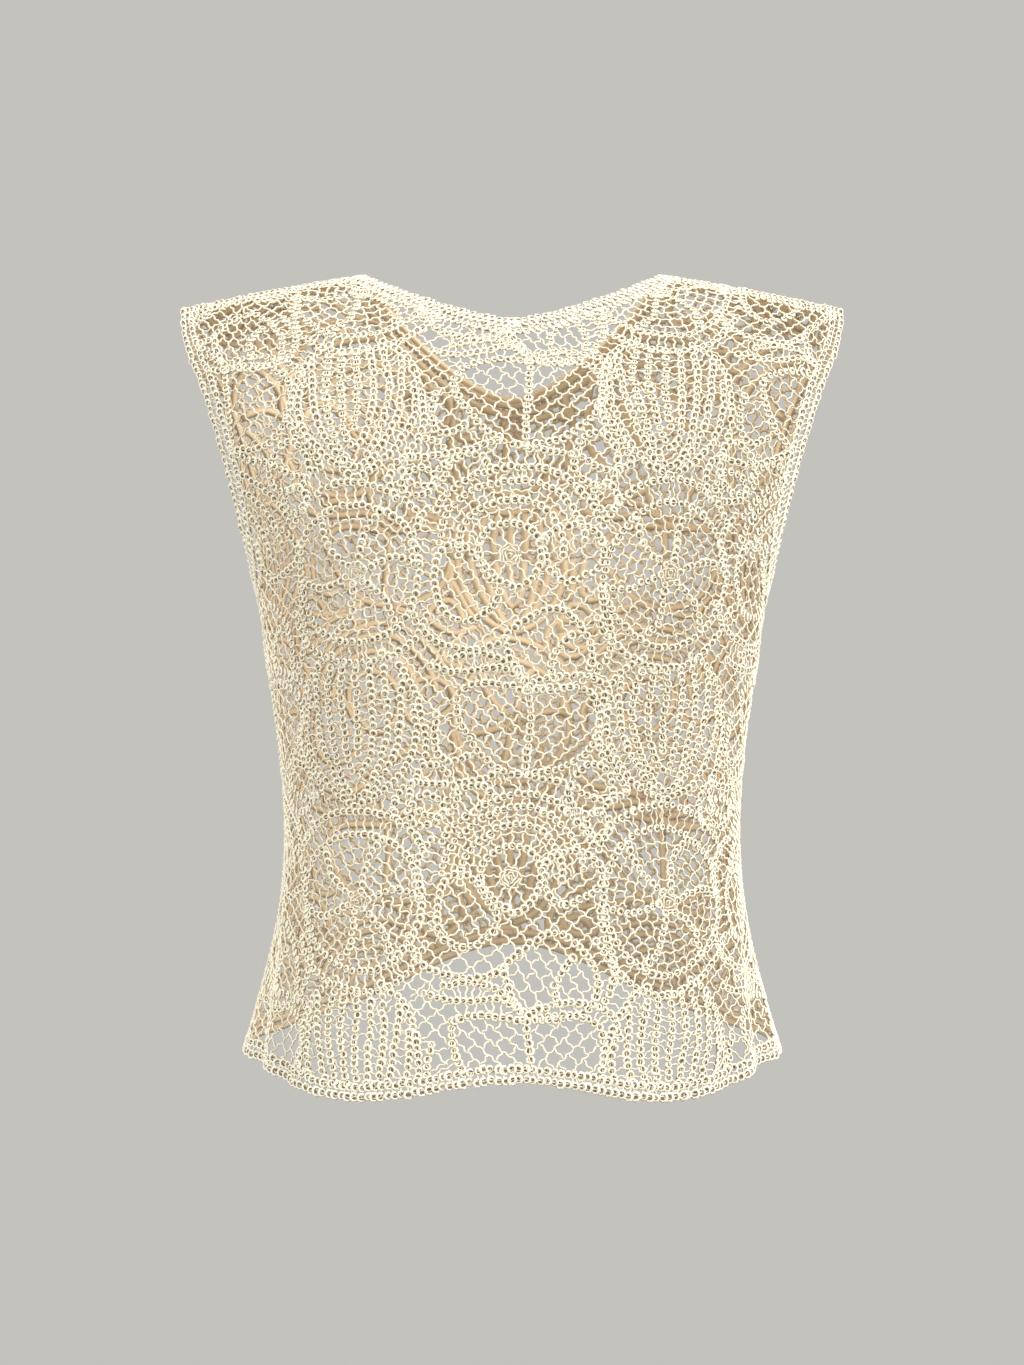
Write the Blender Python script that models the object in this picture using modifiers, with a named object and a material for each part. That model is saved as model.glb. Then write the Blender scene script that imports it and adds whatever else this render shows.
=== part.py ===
"""Sleeveless pullover vest in open cotton crochet lace, filled out as if worn.

Two lace panels meet at the side and shoulder seams. A corded edging is worked on round the neck,
round each armhole and round the hem. Every wall starts as the plain inside of the garment and gets
its thickness outwards, so that the cords of the lace stand up on the outside only.

Metres, +Z up, +X across. The back, with the shallow neck, faces -Y. The origin lies on the middle
plane, at the height where the wearer's shoulders carry the garment.

A place on a panel is given in the flat: `across` is the distance from the panel's middle line along
the cloth, and `up` is the height that the cloth would reach if it hung straight from the shoulders.
"""
import math
from functools import lru_cache

import bpy
import numpy as np
from mathutils import Vector
from mathutils.geometry import delaunay_2d_cdt

# Cloth
THIN = 0.0016
CORD_HEIGHT = 0.0030
SEAM_GAP = 0.0003
EDGING_WIDTH = 0.009
YARN = (0.76, 0.70, 0.56)
EDGING_YARN = (0.80, 0.75, 0.63)

# Sections of the garment, over the cords
SECTION_COLUMNS = ("up", "half_width", "back_depth", "front_depth")
SECTIONS = (
    (-0.500, 0.176, 0.115, 0.116),
    (-0.430, 0.156, 0.104, 0.108),
    (-0.385, 0.147, 0.095, 0.102),
    (-0.335, 0.144, 0.089, 0.099),
    (-0.290, 0.147, 0.091, 0.104),
    (-0.235, 0.155, 0.096, 0.114),
    (-0.190, 0.162, 0.100, 0.118),
    (-0.140, 0.183, 0.100, 0.114),
    (-0.100, 0.200, 0.097, 0.106),
    (-0.060, 0.215, 0.093, 0.097),
    (-0.010, 0.222, 0.090, 0.090),
    (0.060, 0.223, 0.088, 0.088),
)
SECTION_ROUNDNESS = 2.4

# Armhole, the distance of the finished edge from the middle plane
ARMHOLE_COLUMNS = ("up", "half_width")
ARMHOLE = (
    (-0.190, 0.1590),
    (-0.160, 0.1640),
    (-0.120, 0.1735),
    (-0.082, 0.1850),
    (-0.062, 0.1920),
    (-0.041, 0.2010),
    (-0.020, 0.2070),
    (0.000, 0.2090),
)
UNDERARM = -0.190
UNDERARM_SLOPE = 1.25

# Shoulders and neck
SHOULDER_TOP = 0.010
SHOULDER_DROP = 0.021
SHOULDER_ROUND = 0.130
SHOULDER_TIP = 0.209
NECK_HALF_WIDTH = 0.093
NECK_DROP = {"back": 0.034, "front": 0.067}
NECK_CURVE = {"back": 1.45, "front": 1.6}

# Hem
HEM = -0.490
HEM_SCALLOP = 0.006
HEM_SIDE_RISE = 0.012
HEM_RISE = {"back": 0.0, "front": 0.060}

# Folds that run up from the hem: panel, place across, half width, depth, height where each dies out
FOLD_COLUMNS = ("panel", "across", "half_width", "depth", "top")
FOLDS = (
    ("back", -0.178, 0.013, 0.009, -0.300),
    ("back", -0.146, 0.011, 0.006, -0.350),
    ("back", 0.172, 0.013, 0.009, -0.290),
    ("back", 0.136, 0.012, 0.005, -0.370),
    ("back", 0.046, 0.020, 0.003, -0.380),
    ("front", -0.170, 0.014, 0.008, -0.310),
    ("front", 0.160, 0.013, 0.008, -0.320),
    ("front", -0.060, 0.018, 0.004, -0.380),
    ("front", 0.082, 0.016, 0.004, -0.370),
)

# Lace repeat
REPEAT_WIDTH = 0.187
REPEAT_HEIGHT = 0.195
ROSETTE_UP = -0.172
ROSETTE_RADIUS = 0.020
ARCH_RADIUS = 0.048
LEAF_UP = 0.092
LEAF_WIDTH = 0.044
LEAF_HEIGHT = 0.072
WHEEL_UP = -0.012
WHEEL_RADIUS = 0.043
WHEEL_SPOKES = 6
TULIP_FOOT = 0.037
TULIP_HEIGHT = 0.098
TULIP_WIDTH = 0.031
TULIP_RIBS = 5
CORD_HALF_WIDTH = 0.0034
LARGEST_FILLER = 0.0105
FILLERS = 12
EDGE_MARGIN = 0.0035
GRID_ACROSS = 0.030
GRID_UP = 0.0291
GRID_TO_EDGE = 0.0075
GRID_TO_LACE = 0.0094
PANEL_SPAN = 0.60
FILLER_TRIES = 64
FILLER_FOOT = -0.078
REPEATS_ACROSS = (-2, -1, 0, 1)
REPEATS_UP = (-2, -1, 0, 1, 2)

HEM_STATIONS = 15
SIDE_STATIONS = 11
ARMHOLE_STATIONS = 12
SHOULDER_STATIONS = 6
NECK_STATIONS = 11

FACING = {"back": -1.0, "front": 1.0}


def column(rows, names, name, up):
    """Value of a table's named column at a height, on a smooth curve through its rows."""
    heights = [row[0] for row in rows]
    values = [row[names.index(name)] for row in rows]
    up = min(max(up, heights[0]), heights[-1])
    last = len(rows) - 1
    i = min(max(sum(h <= up for h in heights) - 1, 0), last - 1)

    def slope(k):
        low, high = max(k - 1, 0), min(k + 1, last)
        return (values[high] - values[low]) / (heights[high] - heights[low])

    step = heights[i + 1] - heights[i]
    t = (up - heights[i]) / step
    start = values[i] * (1 + 2 * t) * (1 - t) ** 2 + slope(i) * step * t * (1 - t) ** 2
    end = values[i + 1] * t * t * (3 - 2 * t) - slope(i + 1) * step * t * t * (1 - t)
    return start + end


@lru_cache(maxsize=None)
def half_section(panel, up):
    """Distances along the cloth, and x and depth there, from the middle line to the side."""
    width = column(SECTIONS, SECTION_COLUMNS, "half_width", up) - CORD_HEIGHT
    depth = column(SECTIONS, SECTION_COLUMNS, panel + "_depth", up) - CORD_HEIGHT
    angle = np.linspace(0.0, math.pi / 2, 61)
    xs = width * np.sin(angle) ** (2 / SECTION_ROUNDNESS)
    depths = depth * np.maximum(np.cos(angle), 0.0) ** (2 / SECTION_ROUNDNESS)
    steps = np.hypot(np.diff(xs), np.diff(depths))
    return np.concatenate(([0.0], np.cumsum(steps))), xs, depths


def side_seam(panel, up):
    return float(half_section(panel, round(up, 6))[0][-1])


def across_at(panel, x, up):
    along, xs, _ = half_section(panel, round(up, 6))
    return float(np.interp(x, xs, along))


def x_at(panel, across, up):
    along, xs, _ = half_section(panel, round(up, 6))
    return float(np.interp(abs(across), along, xs))


def shoulder_height(x):
    """Height of the shoulder line at a distance from the middle plane."""
    share = max(abs(x) - NECK_HALF_WIDTH, 0.0) / (SHOULDER_TIP - NECK_HALF_WIDTH)
    return SHOULDER_TOP - CORD_HEIGHT - SHOULDER_DROP * share ** 1.15


def shoulder_arc(panel, x, up):
    """Start height, radius and angle of the arc that carries a panel over to the shoulder seam."""
    along, xs, depths = half_section(panel, round(up, 6))
    depth = max(float(np.interp(abs(x), xs, depths)), 0.001)
    angle = 2 * math.atan(depth / SHOULDER_ROUND)
    return shoulder_height(x) - SHOULDER_ROUND, SHOULDER_ROUND / math.sin(angle), angle


def fold_depth(panel, across, up):
    """How far the folds sink the cloth here."""
    total = 0.0
    for row in FOLDS:
        fold = dict(zip(FOLD_COLUMNS, row))
        if fold["panel"] == panel and up < fold["top"]:
            fade = min((fold["top"] - up) / (fold["top"] - HEM), 1.0)
            spread_out = math.exp(-(((across - fold["across"]) / fold["half_width"]) ** 2))
            total += fold["depth"] * fade * fade * spread_out
    return total


def place(panel, across, up):
    """Point in space of a place on the inside of a panel."""
    along, xs, depths = half_section(panel, round(up, 6))
    x = float(np.interp(abs(across), along, xs))
    depth = float(np.interp(abs(across), along, depths))
    sink = fold_depth(panel, across, up)
    if sink > 0.0:
        power = SECTION_ROUNDNESS - 1
        normal = Vector(((x / xs[-1]) ** power / xs[-1], (depth / depths[0]) ** power / depths[0]))
        normal.normalize()
        x -= sink * normal.x
        depth -= sink * normal.y
    start, radius, _ = shoulder_arc(panel, x, up)
    z = up
    if up > start:
        turn = (up - start) / radius
        z = start + radius * math.sin(turn)
        depth -= radius * (1 - math.cos(turn))
    return Vector((math.copysign(x, across), FACING[panel] * depth, z))


def seam_up(panel, x):
    """Flat height of the shoulder seam at a distance from the middle plane."""
    up = SHOULDER_TOP
    for _ in range(5):
        start, radius, angle = shoulder_arc(panel, x, up)
        up = start + radius * angle
    return up


def neck_up(panel, x):
    """Flat height of the neckline at a distance from the middle plane."""
    drop = NECK_DROP[panel] * (1 - (x / NECK_HALF_WIDTH) ** NECK_CURVE[panel])
    up = SHOULDER_TOP
    for _ in range(5):
        start, radius, _ = shoulder_arc(panel, x, up)
        rise = SHOULDER_TOP - CORD_HEIGHT - drop - start
        up = start + radius * math.asin(rise / radius)
    return up


def hem_up(panel, across):
    """Flat height of the hem: a soft scallop for each repeat, a lift at the sides, the front's rise."""
    wave = HEM_SCALLOP * math.cos(2 * math.pi * across / REPEAT_WIDTH)
    share = min(abs(across) / side_seam(panel, HEM), 1.0)
    lift = HEM_SIDE_RISE * share ** 6
    return HEM + wave + lift + HEM_RISE[panel] * math.cos(share * math.pi / 2) ** 2


def inset_line(points, inset, first, last):
    """A line moved to its left by inset, with its two ends put on the seams they run into."""
    moved = []
    for i in range(1, len(points) - 1):
        run = Vector(points[i + 1]) - Vector(points[i - 1])
        run.normalize()
        moved.append((points[i][0] - inset * run.y, points[i][1] + inset * run.x))
    return [first] + moved + [last]


def hem_line(panel, inset):
    """Half the hem, from the middle to the side seam."""
    side = side_seam(panel, HEM)
    points = [(side * i / HEM_STATIONS, 0.0) for i in range(HEM_STATIONS + 1)]
    points = [(across, hem_up(panel, across)) for across, _ in points]
    end = points[-1][1] + inset
    return inset_line(points, inset, (0.0, points[0][1] + inset), (side_seam(panel, end), end))


def armhole_line(panel, inset):
    """The armhole of one side, from the underarm to the shoulder tip."""
    top = seam_up(panel, SHOULDER_TIP)
    points = []
    for i in range(ARMHOLE_STATIONS + 1):
        up = UNDERARM + (top - UNDERARM) * (i / ARMHOLE_STATIONS) ** 1.3
        points.append((across_at(panel, column(ARMHOLE, ARMHOLE_COLUMNS, "half_width", up), up), up))
    low = UNDERARM - inset * UNDERARM_SLOPE
    tip = SHOULDER_TIP - inset
    first = (side_seam(panel, low), low)
    last = (across_at(panel, tip, seam_up(panel, tip)), seam_up(panel, tip))
    return inset_line(points, inset, first, last)


def neck_line(panel, inset):
    """Half the neckline, from the shoulder seam to the middle."""
    points = []
    for i in range(NECK_STATIONS + 1):
        x = NECK_HALF_WIDTH * math.cos(math.pi / 2 * i / NECK_STATIONS)
        up = neck_up(panel, x)
        points.append((across_at(panel, x, up), up))
    side = NECK_HALF_WIDTH + inset
    first = (across_at(panel, side, seam_up(panel, side)), seam_up(panel, side))
    return inset_line(points, inset, first, (0.0, points[-1][1] - inset))


def panel_outline(panel):
    """The cut edge of a panel in the flat, clear of its edgings and seams."""
    inset = EDGING_WIDTH + SEAM_GAP
    hem = hem_line(panel, inset)
    arm = armhole_line(panel, inset)
    neck = neck_line(panel, inset)
    low, high = hem[-1][1], arm[0][1]
    side = []
    for i in range(1, SIDE_STATIONS):
        up = low + (high - low) * i / SIDE_STATIONS
        side.append((side_seam(panel, up), up))
    outer, inner = SHOULDER_TIP - inset, NECK_HALF_WIDTH + inset
    shoulder = []
    for i in range(1, SHOULDER_STATIONS):
        x = outer + (inner - outer) * i / SHOULDER_STATIONS
        shoulder.append((across_at(panel, x, seam_up(panel, x)), seam_up(panel, x)))
    half = []
    for across, up in hem + side + arm + shoulder + neck:
        if up < UNDERARM:
            across = min(across, side_seam(panel, up) - SEAM_GAP / 2)
        else:
            up = min(up, seam_up(panel, x_at(panel, across, up)) - SEAM_GAP / 2)
        half.append((across, up))
    return half[:-1] + [(-across, up) for across, up in reversed(half)][:-1]


def polar(middle, radius, degrees):
    turn = math.radians(degrees)
    return (middle[0] + radius * math.cos(turn), middle[1] + radius * math.sin(turn))


def wheel(middle):
    """Flower wheel: a corded ring with spokes, and a gap between each two spokes."""
    ring = [polar(middle, WHEEL_RADIUS, 30 * i) for i in range(13)]
    cords = [ring]
    gaps = []
    step = 360 / WHEEL_SPOKES
    for i in range(WHEEL_SPOKES):
        cords.append([polar(middle, r * WHEEL_RADIUS, step * i) for r in (0.12, 0.45, 0.8)])
        turn = step * (i + 0.5)
        corners = ((0.88, -22), (0.90, 0), (0.88, 22), (0.55, 19), (0.28, 0), (0.55, -19))
        gaps.append([polar(middle, r * WHEEL_RADIUS, turn + a) for r, a in corners])
    return cords, gaps


def tulip(foot):
    """Tulip: ribs that spring from one foot, with a long gap between each two."""

    def rib(share, height):
        half_width = TULIP_WIDTH * math.sin(math.pi * min(height, 1.0) ** 0.75 * 0.86)
        return (foot[0] + share * half_width, foot[1] + height * TULIP_HEIGHT)

    shares = [2 * i / (TULIP_RIBS - 1) - 1 for i in range(TULIP_RIBS)]
    cords = [[rib(share, h) for h in (0.04, 0.3, 0.55, 0.8, 1.0)] for share in shares]
    gaps = []
    for low, high in zip(shares, shares[1:]):
        edge = CORD_HALF_WIDTH / TULIP_WIDTH
        left = [rib(low + edge, h) for h in (0.4, 0.62, 0.84)]
        right = [rib(high - edge, h) for h in (0.84, 0.62, 0.4)]
        middle = (low + high) / 2
        gaps.append([rib(middle, 0.26)] + right[::-1] + [rib(middle, 0.95)] + left[::-1])
    return cords, gaps


def leaf_pair(middle):
    """Two leaves on one upright stem, each with two gaps parted by a bar."""
    foot = (middle[0], middle[1] - LEAF_HEIGHT / 2)
    shape = ((0.0, 0.0), (0.5, 0.14), (0.9, 0.42), (1.0, 0.72), (0.82, 0.95), (0.4, 0.92), (0.0, 0.84))
    cords = [[(foot[0], foot[1] + LEAF_HEIGHT * h) for h in (0.05, 0.35, 0.7)]]
    gaps = []
    upper = ((0.12, 0.50), (0.84, 0.54), (0.88, 0.74), (0.74, 0.84), (0.40, 0.82), (0.12, 0.75))
    lower = ((0.12, 0.14), (0.46, 0.22), (0.78, 0.44), (0.12, 0.42))
    for side in (-1, 1):
        cords.append([(foot[0] + side * LEAF_WIDTH * a, foot[1] + LEAF_HEIGHT * h) for a, h in shape])
        for corners in (upper, lower):
            gap = [(foot[0] + side * LEAF_WIDTH * a, foot[1] + LEAF_HEIGHT * h) for a, h in corners]
            gaps.append(gap if side > 0 else gap[::-1])
    return cords, gaps


def rosette(middle):
    """Rosette in a corded ring, under an arch that is open between the two."""
    cords = [[polar(middle, ROSETTE_RADIUS, 45 * i) for i in range(9)]]
    cords.append([polar(middle, ARCH_RADIUS, 5 + 170 * i / 7) for i in range(8)])
    gaps = []
    low, high = ROSETTE_RADIUS + CORD_HALF_WIDTH, ARCH_RADIUS - CORD_HALF_WIDTH
    for turn in (28, 69, 111, 152):
        corners = ((low, -14), (high, -17), (high + 0.0006, 0), (high, 17), (low, 14))
        gaps.append([polar(middle, r, turn + a) for r, a in corners])
    for turn in (-145, -35):
        corners = ((low + 0.002, -24), (low + 0.018, -19), (low + 0.021, 4), (low + 0.014, 24), (low, 20))
        gaps.append([polar(middle, r, turn + a * (1 if turn > -90 else -1)) for r, a in corners])
    return cords, gaps


def fillers(cords, gaps):
    """The largest six-sided gaps in the net that is left between the motifs of a repeat."""
    taken = []
    for cord in cords:
        for start, end in zip(cord, cord[1:]):
            for k in range(5):
                taken.append((start[0] + (end[0] - start[0]) * k / 5,
                              start[1] + (end[1] - start[1]) * k / 5, CORD_HALF_WIDTH))
    for gap in gaps:
        for start, end in zip(gap, gap[1:] + gap[:1]):
            for k in range(3):
                taken.append((start[0] + (end[0] - start[0]) * k / 3,
                              start[1] + (end[1] - start[1]) * k / 3, CORD_HALF_WIDTH * 1.2))
    around = np.array([(x + i * REPEAT_WIDTH, y + j * REPEAT_HEIGHT, keep)
                       for x, y, keep in taken for i in (-1, 0, 1) for j in (-1, 0, 1)])
    found, hexagons, free = [], [], []
    for i in range(FILLER_TRIES // 2):
        for j in range(FILLER_TRIES):
            x = REPEAT_WIDTH * i / (FILLER_TRIES - 2)
            y = FILLER_FOOT + REPEAT_HEIGHT * j / FILLER_TRIES
            room = float(np.min(np.hypot(around[:, 0] - x, around[:, 1] - y) - around[:, 2]))
            free.append((min(room, LARGEST_FILLER), -abs(x - REPEAT_WIDTH / 4), x, y))
    for room, _, x, y in sorted(free, reverse=True):
        on_middle = x < REPEAT_WIDTH / FILLER_TRIES
        clear = on_middle or x > room + CORD_HALF_WIDTH / 2
        for other_x, other_y, other_room in found:
            for side in (-1, 1):
                for lift in (-REPEAT_HEIGHT, 0.0, REPEAT_HEIGHT):
                    for shift in (0.0, REPEAT_WIDTH):
                        gap = math.hypot(x - side * other_x - shift, y - other_y - lift)
                        clear = clear and gap > room + other_room + CORD_HALF_WIDTH
        if clear and len(hexagons) < FILLERS:
            found.append((x, y, room))
            for side in (1,) if on_middle else (1, -1):
                hexagons.append([polar((side * x, y), room, 60 * k + 30) for k in range(6)])
    return hexagons


def lace_repeat():
    """Cords and gaps of one repeat, with the rosette in its middle."""
    cords, gaps = rosette((0.0, 0.0))
    parts = [leaf_pair((0.0, LEAF_UP))]
    parts.append(wheel((REPEAT_WIDTH / 2, WHEEL_UP)))
    parts.append(tulip((REPEAT_WIDTH / 2, TULIP_FOOT)))
    for more_cords, more_gaps in parts:
        cords += more_cords
        gaps += more_gaps
    return cords, gaps + fillers(cords, gaps)


def inside(point, polygon):
    """Whether a point lies in a polygon."""
    x, y = point
    odd = False
    for (x0, y0), (x1, y1) in zip(polygon, polygon[1:] + polygon[:1]):
        if (y0 > y) != (y1 > y) and x < (x1 - x0) * (y - y0) / (y1 - y0) + x0:
            odd = not odd
    return odd


def clear_of_edge(points, outline, margin):
    """Whether all the points lie in the outline and no nearer to it than the margin."""
    start = np.array(outline)
    run = np.roll(start, -1, axis=0) - start
    for point in points:
        if not inside(point, outline):
            return False
        offset = np.array(point) - start
        share = np.clip((offset * run).sum(axis=1) / (run * run).sum(axis=1), 0.0, 1.0)
        if np.min(np.hypot(*(offset - run * share[:, None]).T)) < margin:
            return False
    return True


def spread(outline, shapes, margin):
    """Copies of a repeat's shapes all over a panel, kept where they are clear of its edge."""
    kept = []
    for i in REPEATS_ACROSS:
        for j in REPEATS_UP:
            shift = (i * REPEAT_WIDTH, ROSETTE_UP + j * REPEAT_HEIGHT)
            for shape in shapes:
                moved = [(x + shift[0], y + shift[1]) for x, y in shape]
                middle = tuple(sum(c) / len(moved) for c in zip(*moved))
                if inside(middle, outline) and clear_of_edge(moved, outline, margin):
                    kept.append(moved)
    return kept


def material(name, colour, roughness):
    made = bpy.data.materials.new(name)
    made.use_nodes = True
    shader = made.node_tree.nodes["Principled BSDF"]
    shader.inputs["Base Color"].default_value = (*colour, 1.0)
    shader.inputs["Roughness"].default_value = roughness
    shader.inputs["Metallic"].default_value = 0.0
    return made


def add_cloth(name, points, faces, heights, cloth_material, parts):
    """An object from an open inside surface, thickened outwards by each point's own height."""
    mesh = bpy.data.meshes.new(name)
    mesh.from_pydata(points, [], faces)
    mesh.update()
    piece = bpy.data.objects.new(name, mesh)
    piece.data.materials.append(cloth_material)
    parts.objects.link(piece)
    relief = piece.vertex_groups.new(name="relief")
    for i, height in enumerate(heights):
        relief.add([i], height / CORD_HEIGHT, "REPLACE")
    wall = piece.modifiers.new("wall", "SOLIDIFY")
    wall.thickness = CORD_HEIGHT
    wall.offset = 1.0
    wall.vertex_group = relief.name


def lace_panel(name, panel, cloth_material, parts):
    """A panel cut to its outline, with the gaps of the lace cut through and its cords raised."""
    outline = panel_outline(panel)
    cords, gaps = lace_repeat()
    gaps = spread(outline, gaps, EDGE_MARGIN)
    segments = [list(pair) for cord in cords for pair in zip(cord, cord[1:])]
    segments = spread(outline, segments, EDGE_MARGIN)
    points, heights, edges, index = [], [], [], {}

    def add_point(point, height):
        key = (round(point[0], 5), round(point[1], 5))
        if key not in index:
            index[key] = len(points)
            points.append(Vector(point))
            heights.append(height)
        return index[key]

    for loop in [outline] + gaps:
        numbers = [add_point(point, THIN) for point in loop]
        edges += list(zip(numbers, numbers[1:] + numbers[:1]))
    for start, end in segments:
        edges.append((add_point(start, CORD_HEIGHT), add_point(end, CORD_HEIGHT)))
    rows = int(PANEL_SPAN / GRID_ACROSS)
    for i in range(-rows // 2, rows // 2 + 1):
        for j in range(rows + 2):
            point = (i * GRID_ACROSS, HEM + j * GRID_UP)
            if not clear_of_edge([point], outline, GRID_TO_EDGE):
                continue
            if min((other - Vector(point)).length for other in points) < GRID_TO_LACE:
                continue
            add_point(point, THIN)
    flat, _, faces, origins, _, _ = delaunay_2d_cdt(points, edges, [], 0, 1e-6)
    kept = []
    for face in faces:
        middle = tuple(sum(flat[i][k] for i in face) / len(face) for k in (0, 1))
        if inside(middle, outline) and not any(inside(middle, gap) for gap in gaps):
            kept.append(face if panel == "back" else face[::-1])
    used = sorted({i for face in kept for i in face})
    number = {old: new for new, old in enumerate(used)}
    places = [place(panel, flat[i].x, flat[i].y) for i in used]
    raised = [heights[origins[i][0]] if origins[i] else CORD_HEIGHT for i in used]
    kept = [[number[i] for i in face] for face in kept]
    add_cloth(name, places, kept, raised, cloth_material, parts)


def edging(name, ring, cloth_material, parts):
    """A closed corded band: each station is a finished edge, a raised middle and a worked-on edge."""
    points, heights, faces = [], [], []
    for station in ring:
        points += station
        heights += [THIN, CORD_HEIGHT, THIN]
    count = len(ring)
    for i in range(count):
        here, there = 3 * i, 3 * ((i + 1) % count)
        for row in (0, 1):
            faces.append((here + row, there + row, there + row + 1, here + row + 1))
    add_cloth(name, points, faces, heights, cloth_material, parts)


def stations(panel, line, side):
    """Points in space across a band, for each station along one half of its line."""
    rows = [line(panel, inset) for inset in (0.0, EDGING_WIDTH / 2, EDGING_WIDTH)]
    return [[place(panel, side * across, up) for across, up in station] for station in zip(*rows)]


def hem_edging(cloth_material, parts):
    ring = []
    for panel, first in (("back", 1), ("front", -1)):
        ring += stations(panel, hem_line, -first)[:0:-1]
        ring += stations(panel, hem_line, first)[:-1]
    edging("hem_edging", ring, cloth_material, parts)


def neck_edging(cloth_material, parts):
    ring = []
    for panel, first in (("back", 1), ("front", -1)):
        ring += stations(panel, neck_line, first)[:-1]
        ring += stations(panel, neck_line, -first)[:0:-1]
    edging("neck_edging", ring, cloth_material, parts)


def armhole_edging(name, side, cloth_material, parts):
    back = stations("back", armhole_line, side)
    front = stations("front", armhole_line, side)
    ring = back[:-1] + front[:0:-1]
    if side < 0:
        ring.reverse()
    edging(name, ring, cloth_material, parts)


def build():
    for old in list(bpy.data.objects):
        bpy.data.objects.remove(old, do_unlink=True)
    parts = bpy.data.collections.new("lace vest")
    bpy.context.scene.collection.children.link(parts)
    lace = material("lace yarn", YARN, 0.88)
    corded = material("edging yarn", EDGING_YARN, 0.85)
    for panel in ("back", "front"):
        lace_panel(panel + "_panel", panel, lace, parts)
    hem_edging(corded, parts)
    neck_edging(corded, parts)
    armhole_edging("armhole_edging_left", -1, corded, parts)
    armhole_edging("armhole_edging_right", 1, corded, parts)


build()
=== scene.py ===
import math

import bpy
import numpy as np
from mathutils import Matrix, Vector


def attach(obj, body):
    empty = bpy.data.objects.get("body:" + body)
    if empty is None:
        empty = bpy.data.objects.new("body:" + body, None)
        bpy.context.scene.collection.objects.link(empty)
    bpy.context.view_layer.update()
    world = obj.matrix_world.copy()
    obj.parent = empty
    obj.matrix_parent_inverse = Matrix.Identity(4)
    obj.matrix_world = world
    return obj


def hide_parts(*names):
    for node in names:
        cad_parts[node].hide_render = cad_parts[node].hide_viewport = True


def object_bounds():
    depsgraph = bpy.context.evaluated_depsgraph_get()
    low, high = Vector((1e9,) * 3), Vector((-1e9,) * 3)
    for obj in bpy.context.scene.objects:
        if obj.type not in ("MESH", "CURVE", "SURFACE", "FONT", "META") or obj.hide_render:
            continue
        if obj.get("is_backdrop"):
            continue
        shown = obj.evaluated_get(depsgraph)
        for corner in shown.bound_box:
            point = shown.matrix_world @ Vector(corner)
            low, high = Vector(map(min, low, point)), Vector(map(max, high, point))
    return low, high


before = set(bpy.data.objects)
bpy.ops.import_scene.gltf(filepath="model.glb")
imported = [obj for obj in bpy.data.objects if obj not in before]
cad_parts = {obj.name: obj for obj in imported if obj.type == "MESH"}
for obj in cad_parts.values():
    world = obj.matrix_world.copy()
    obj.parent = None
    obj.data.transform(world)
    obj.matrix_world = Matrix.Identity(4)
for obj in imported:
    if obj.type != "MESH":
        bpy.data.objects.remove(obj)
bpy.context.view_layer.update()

# ------------------------------------------------------------------------------------------------
# Back and front panels. Each is open crochet lace in an ivory cotton yarn: corded motifs (rosettes
# under arches, wheels, tulips, pairs of leaves) joined by nets and ladders of single crinkled yarn.
# A cord is a row of small stitch rings worked over a flat filler tape. Metres; the back faces -Y.
# ------------------------------------------------------------------------------------------------

# The form that the wearer gives the cloth: height, half width, depth of the back and of the front
FORM_ROWS = (
    (-0.500, 0.176, 0.115, 0.116),
    (-0.430, 0.156, 0.104, 0.108),
    (-0.385, 0.147, 0.095, 0.102),
    (-0.335, 0.144, 0.089, 0.099),
    (-0.290, 0.147, 0.091, 0.104),
    (-0.235, 0.155, 0.096, 0.114),
    (-0.190, 0.162, 0.100, 0.118),
    (-0.140, 0.183, 0.100, 0.114),
    (-0.100, 0.200, 0.097, 0.106),
    (-0.060, 0.215, 0.093, 0.097),
    (-0.010, 0.222, 0.090, 0.090),
    (0.060, 0.223, 0.088, 0.088),
)
DEPTH_PLACE = {"back": 2, "front": 3}
FORM_ROUNDNESS = 2.4
GIRTH_POINTS = 61
WALL = 0.003

# Armhole: height, distance of the finished edge from the middle plane
ARMHOLE_ROWS = (
    (-0.190, 0.1590),
    (-0.160, 0.1640),
    (-0.120, 0.1735),
    (-0.082, 0.1850),
    (-0.062, 0.1920),
    (-0.041, 0.2010),
    (-0.020, 0.2070),
    (0.000, 0.2090),
)
ARMHOLE_CURVE = 1.3
UNDERARM = -0.190
UNDERARM_TURN = 1.25
SHOULDER_TOP = 0.010
SHOULDER_DROP = 0.021
SHOULDER_CURVE = 1.15
SHOULDER_ROUND = 0.130
SHOULDER_TIP = 0.209
LEAST_DEPTH = 0.001
SEARCH_ROUNDS = 5
NECK_HALF_WIDTH = 0.093
NECK_DROP = {"back": 0.034, "front": 0.067}
NECK_CURVE = {"back": 1.45, "front": 1.6}
HEM = -0.490
HEM_SCALLOP = 0.006
HEM_SIDE_RISE = 0.012
HEM_RISE = {"back": 0.0, "front": 0.060}
REPEAT = (0.187, 0.195)

# Folds that run up from the hem: panel, place across, half width, depth, height where each dies out
FOLDS = (
    ("back", -0.178, 0.013, 0.009, -0.300),
    ("back", -0.146, 0.011, 0.006, -0.350),
    ("back", 0.172, 0.013, 0.009, -0.290),
    ("back", 0.136, 0.012, 0.005, -0.370),
    ("back", 0.046, 0.020, 0.003, -0.380),
    ("front", -0.170, 0.014, 0.008, -0.310),
    ("front", 0.160, 0.013, 0.008, -0.320),
    ("front", -0.060, 0.018, 0.004, -0.380),
    ("front", 0.082, 0.016, 0.004, -0.370),
)
FACING = {"back": -1.0, "front": 1.0}

# Width of the edgings, and the places of the cords that run along the seams
EDGING = 0.0105
SEAM = 0.0024
SEAM_ROW = 0.0068
SEAM_END = 0.0030

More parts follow.
